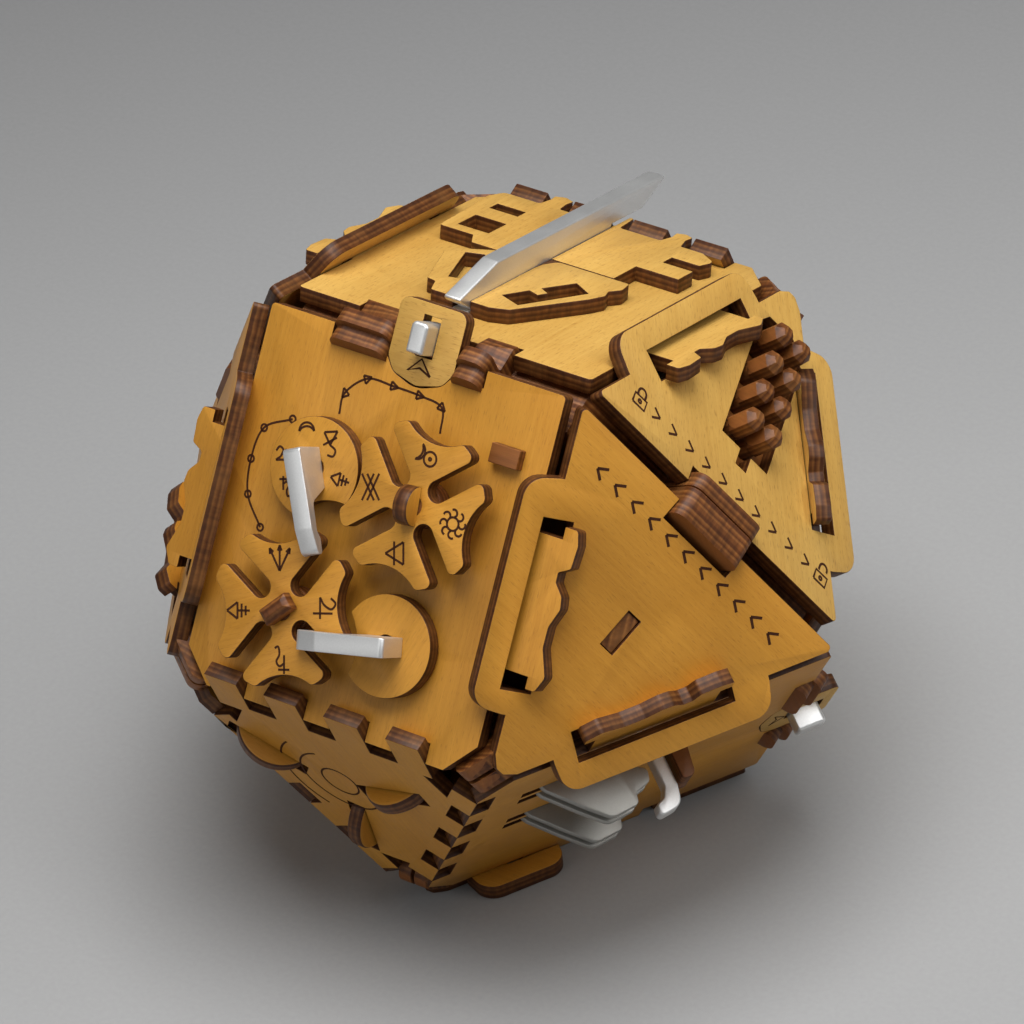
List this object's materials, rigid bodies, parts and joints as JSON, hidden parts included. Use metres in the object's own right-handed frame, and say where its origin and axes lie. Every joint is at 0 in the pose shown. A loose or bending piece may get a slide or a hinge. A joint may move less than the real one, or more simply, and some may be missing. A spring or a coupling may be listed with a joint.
{
  "type": "cryptex",
  "caption": "Plywood puzzle box of squares and triangles in two twisting halves, with star wheels, cranks, latch knobs, rocking levers, pegs and a sliding fin.",
  "frame": {"origin": "centre of the outer face of the triangle the object rests on", "axes": "-Z is the outward normal of the rest triangle; X runs along the shared edge of the two halves on that triangle; -Y is the side of the front square with the wheels"},
  "size_m": [0.1418, 0.1323, 0.1242],
  "materials": {
    "panel_plywood": "stained birch plywood, satin, burnt edges",
    "wheel_plywood": "stained birch plywood, satin, engraved",
    "dark_plywood": "burnt plywood edge grain, satin",
    "aluminium": "satin"
  },
  "bodies": {
    "lower": {"square_front_low": "panel_plywood", "square_right_low": "panel_plywood", "square_left_low": "panel_plywood", "triangle_front_low": "panel_plywood", "triangle_left_low": "panel_plywood", "triangle_rest": "panel_plywood", "cap_low": "panel_plywood", "deck_low": "dark_plywood", "turning_axle": "dark_plywood", "corner_posts_low": "dark_plywood", "pointer_1": "panel_plywood", "pointer_2": "panel_plywood", "pointer_3": "panel_plywood", "thumb_axles": "dark_plywood", "wheel_pivots": "dark_plywood", "front_pegs": "dark_plywood", "lever_shaft": "dark_plywood", "hook_guide": "dark_plywood"},
    "upper": {"square_front_up": "panel_plywood", "square_right_up": "panel_plywood", "square_left_up": "panel_plywood", "triangle_front_up": "panel_plywood", "triangle_left_up": "panel_plywood", "triangle_back_up": "panel_plywood", "cap_up": "panel_plywood", "deck_up": "dark_plywood", "corner_posts_up": "dark_plywood", "overlay_right_low": "panel_plywood", "overlay_right_high": "panel_plywood", "overlay_left_low": "panel_plywood", "overlay_left_high": "panel_plywood", "peg_rack": "dark_plywood"},
    "star_wheel_1": {"star_1": "wheel_plywood", "hub_key_1": "dark_plywood"},
    "star_wheel_2": {"star_2": "wheel_plywood", "hub_key_2": "dark_plywood"},
    "crank_1": {"crank_disc_1": "wheel_plywood", "crank_arm_1": "aluminium"},
    "crank_2": {"crank_disc_2": "wheel_plywood", "crank_arm_2": "aluminium"},
    "fin": {"fin": "aluminium"},
    "hook": {"hook": "aluminium"},
    "thumb_wheel_1": {"thumb_wheel_1": "panel_plywood"},
    "thumb_wheel_2": {"thumb_wheel_2": "panel_plywood"},
    "thumb_wheel_3": {"thumb_wheel_3": "panel_plywood"},
    "lever_1": {"lever_1": "aluminium"},
    "lever_2": {"lever_2": "aluminium"},
    "lever_3": {"lever_3": "aluminium"},
    "lever_4": {"lever_4": "aluminium"},
    "knob_1": {"knob_1": "aluminium"},
    "knob_2": {"knob_2": "aluminium"},
    "knob_3": {"knob_3": "aluminium"},
    "row_peg_1": {"row_peg_1": "dark_plywood"},
    "row_peg_2": {"row_peg_2": "dark_plywood"},
    "row_peg_3": {"row_peg_3": "dark_plywood"},
    "row_peg_4": {"row_peg_4": "dark_plywood"},
    "row_peg_5": {"row_peg_5": "dark_plywood"},
    "row_peg_6": {"row_peg_6": "dark_plywood"},
    "row_peg_7": {"row_peg_7": "dark_plywood"},
    "row_peg_8": {"row_peg_8": "dark_plywood"}
  },
  "joints": [
    {"name": "half_twist", "type": "hinge", "parent": "lower", "child": "upper", "pos_m": [0, 0, 0.05879], "axis": [0, 0.9428, 0.3333], "range_deg": [-15, 15]},
    {"name": "star_turn_1", "type": "hinge", "parent": "lower", "child": "star_wheel_1", "pos_m": [0.01058, -0.04046, 0.09842], "axis": [0, -0.8165, 0.5774], "continuous": true},
    {"name": "star_turn_2", "type": "hinge", "parent": "lower", "child": "star_wheel_2", "pos_m": [-0.01066, -0.0553, 0.07743], "axis": [0, -0.8165, 0.5774], "continuous": true},
    {"name": "crank_turn_1", "type": "hinge", "parent": "lower", "child": "crank_1", "pos_m": [-0.0131, -0.03788, 0.09686], "axis": [0, -0.8165, 0.5774], "continuous": true},
    {"name": "crank_turn_2", "type": "hinge", "parent": "lower", "child": "crank_2", "pos_m": [0.01044, -0.05326, 0.07511], "axis": [0, -0.8165, 0.5774], "continuous": true},
    {"name": "thumb_turn_1", "type": "hinge", "parent": "lower", "child": "thumb_wheel_1", "pos_m": [-0.01886, -0.05193, 0.04386], "axis": [0.4695, -0.2943, 0.8325], "continuous": true},
    {"name": "thumb_turn_2", "type": "hinge", "parent": "lower", "child": "thumb_wheel_2", "pos_m": [0.009, -0.05157, 0.04285], "axis": [-0.342, -0.3132, 0.886], "continuous": true},
    {"name": "thumb_turn_3", "type": "hinge", "parent": "lower", "child": "thumb_wheel_3", "pos_m": [-0.00396, -0.04553, 0.02574], "axis": [0.9903, 0.0464, -0.1312], "continuous": true},
    {"name": "lever_rock_1", "type": "hinge", "parent": "lower", "child": "lever_1", "pos_m": [0.02163, -0.02704, 0.03492], "axis": [0.5, -0.2887, 0.8165], "range_deg": [-4, 4]},
    {"name": "lever_rock_2", "type": "hinge", "parent": "lower", "child": "lever_2", "pos_m": [0.02343, -0.02808, 0.03786], "axis": [0.5, -0.2887, 0.8165], "range_deg": [-4, 4]},
    {"name": "lever_rock_3", "type": "hinge", "parent": "lower", "child": "lever_3", "pos_m": [0.02919, -0.0314, 0.04727], "axis": [0.5, -0.2887, 0.8165], "range_deg": [-4, 4]},
    {"name": "lever_rock_4", "type": "hinge", "parent": "lower", "child": "lever_4", "pos_m": [0.03099, -0.03244, 0.05021], "axis": [0.5, -0.2887, 0.8165], "range_deg": [-4, 4]},
    {"name": "hook_slide", "type": "slide", "parent": "lower", "child": "hook", "axis": [-0.5, -0.866, 0], "range_m": [0, 0.005]},
    {"name": "fin_slide", "type": "slide", "parent": "upper", "child": "fin", "axis": [0, 0.9623, -0.2722], "range_m": [0, 0.0065]},
    {"name": "knob_slide_1", "type": "slide", "parent": "lower", "child": "knob_1", "axis": [0, -0.5774, -0.8165], "range_m": [-0.001, 0.0005]},
    {"name": "knob_slide_2", "type": "slide", "parent": "lower", "child": "knob_2", "axis": [-0.5, -0.866, 0], "range_m": [-0.001, 0.0005]},
    {"name": "knob_slide_3", "type": "slide", "parent": "lower", "child": "knob_3", "axis": [0.5, -0.866, 0], "range_m": [-0.001, 0.0005]},
    {"name": "peg_slide_1", "type": "slide", "parent": "upper", "child": "row_peg_1", "axis": [0.8165, 0.1571, 0.5556], "range_m": [-0.0025, 0]},
    {"name": "peg_slide_2", "type": "slide", "parent": "upper", "child": "row_peg_2", "axis": [0.8165, 0.1571, 0.5556], "range_m": [-0.0025, 0]},
    {"name": "peg_slide_3", "type": "slide", "parent": "upper", "child": "row_peg_3", "axis": [0.8165, 0.1571, 0.5556], "range_m": [-0.0025, 0]},
    {"name": "peg_slide_4", "type": "slide", "parent": "upper", "child": "row_peg_4", "axis": [0.8165, 0.1571, 0.5556], "range_m": [-0.0025, 0]},
    {"name": "peg_slide_5", "type": "slide", "parent": "upper", "child": "row_peg_5", "axis": [0.8165, 0.1571, 0.5556], "range_m": [-0.0025, 0]},
    {"name": "peg_slide_6", "type": "slide", "parent": "upper", "child": "row_peg_6", "axis": [0.8165, 0.1571, 0.5556], "range_m": [-0.0025, 0]},
    {"name": "peg_slide_7", "type": "slide", "parent": "upper", "child": "row_peg_7", "axis": [0.8165, 0.1571, 0.5556], "range_m": [-0.0025, 0]},
    {"name": "peg_slide_8", "type": "slide", "parent": "upper", "child": "row_peg_8", "axis": [0.8165, 0.1571, 0.5556], "range_m": [-0.0025, 0]}
  ]
}
